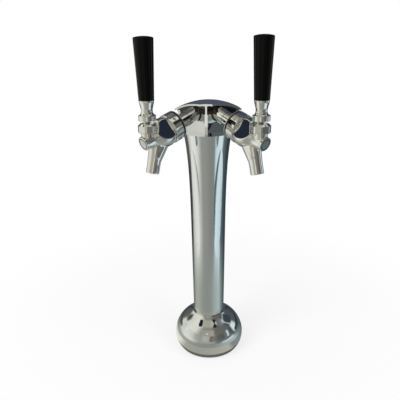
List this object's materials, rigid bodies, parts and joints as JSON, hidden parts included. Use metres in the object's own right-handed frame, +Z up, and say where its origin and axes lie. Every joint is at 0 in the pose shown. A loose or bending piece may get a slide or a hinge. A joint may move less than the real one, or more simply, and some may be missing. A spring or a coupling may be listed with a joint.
{
  "type": "beer tower dispenser",
  "caption": "Chrome countertop beer tower: flared column on a bulbous foot, arched head, sloping shanks and taps with tall black handles.",
  "frame": {"origin": "centre of the foot's underside, on the column axis", "axes": "+Z up along the column, -Y towards the user, +X to the right hand tap"},
  "size_m": [0.2134, 0.1773, 0.613],
  "materials": {
    "polished_chrome": "mirror polished chrome plate on a zinc casting",
    "tap_chrome": "bright chrome plate on brass",
    "plain_brass": "machined brass",
    "screw_steel": "stainless steel, turned",
    "black_rubber": "matt moulded rubber",
    "washer_nylon": "natural nylon",
    "black_handle": "gloss black moulded phenolic"
  },
  "bodies": {
    "tower": {"tower_column": "polished_chrome", "top_cap": "polished_chrome", "cap_screws": "screw_steel", "base_foot": "polished_chrome", "base_gasket": "black_rubber", "clamp_screws": "screw_steel", "left_snout": "tap_chrome", "left_shank_sleeve": "tap_chrome", "left_shank": "plain_brass", "left_hose_elbow": "plain_brass", "left_coupling_gasket": "black_rubber", "left_coupling_nut": "tap_chrome", "left_faucet_body": "tap_chrome", "left_front_cap": "tap_chrome", "left_cap_seal": "black_rubber", "left_ball_washer": "black_rubber", "left_friction_washer": "washer_nylon", "left_bonnet": "tap_chrome", "right_snout": "tap_chrome", "right_shank_sleeve": "tap_chrome", "right_shank": "plain_brass", "right_hose_elbow": "plain_brass", "right_coupling_gasket": "black_rubber", "right_coupling_nut": "tap_chrome", "right_faucet_body": "tap_chrome", "right_front_cap": "tap_chrome", "right_cap_seal": "black_rubber", "right_ball_washer": "black_rubber", "right_friction_washer": "washer_nylon", "right_bonnet": "tap_chrome"},
    "left_lever": {"left_lever": "screw_steel", "left_lever_collar": "tap_chrome", "left_handle_ferrule": "tap_chrome", "left_handle_grip": "black_handle"},
    "left_shaft": {"left_faucet_shaft": "screw_steel", "left_seat_washer": "black_rubber"},
    "right_lever": {"right_lever": "screw_steel", "right_lever_collar": "tap_chrome", "right_handle_ferrule": "tap_chrome", "right_handle_grip": "black_handle"},
    "right_shaft": {"right_faucet_shaft": "screw_steel", "right_seat_washer": "black_rubber"}
  },
  "joints": [
    {"name": "left_lever_tilt", "type": "hinge", "parent": "tower", "child": "left_lever", "pos_m": [-0.09051, -0.09051, 0.467], "axis": [0.7071, -0.7071, 0], "range_deg": [0, 22]},
    {"name": "left_shaft_slide", "type": "slide", "parent": "tower", "child": "left_shaft", "axis": [0.6686, 0.6686, 0.3256], "range_m": [0, 0.0054]},
    {"name": "right_lever_tilt", "type": "hinge", "parent": "tower", "child": "right_lever", "pos_m": [0.09051, -0.09051, 0.467], "axis": [0.7071, 0.7071, 0], "range_deg": [0, 22]},
    {"name": "right_shaft_slide", "type": "slide", "parent": "tower", "child": "right_shaft", "axis": [-0.6686, 0.6686, 0.3256], "range_m": [0, 0.0054]}
  ],
  "couplings": [
    {"joint": "left_shaft_slide", "follows": "left_lever_tilt", "m_per_rad": 0.0138},
    {"joint": "right_shaft_slide", "follows": "right_lever_tilt", "m_per_rad": 0.0138}
  ]
}
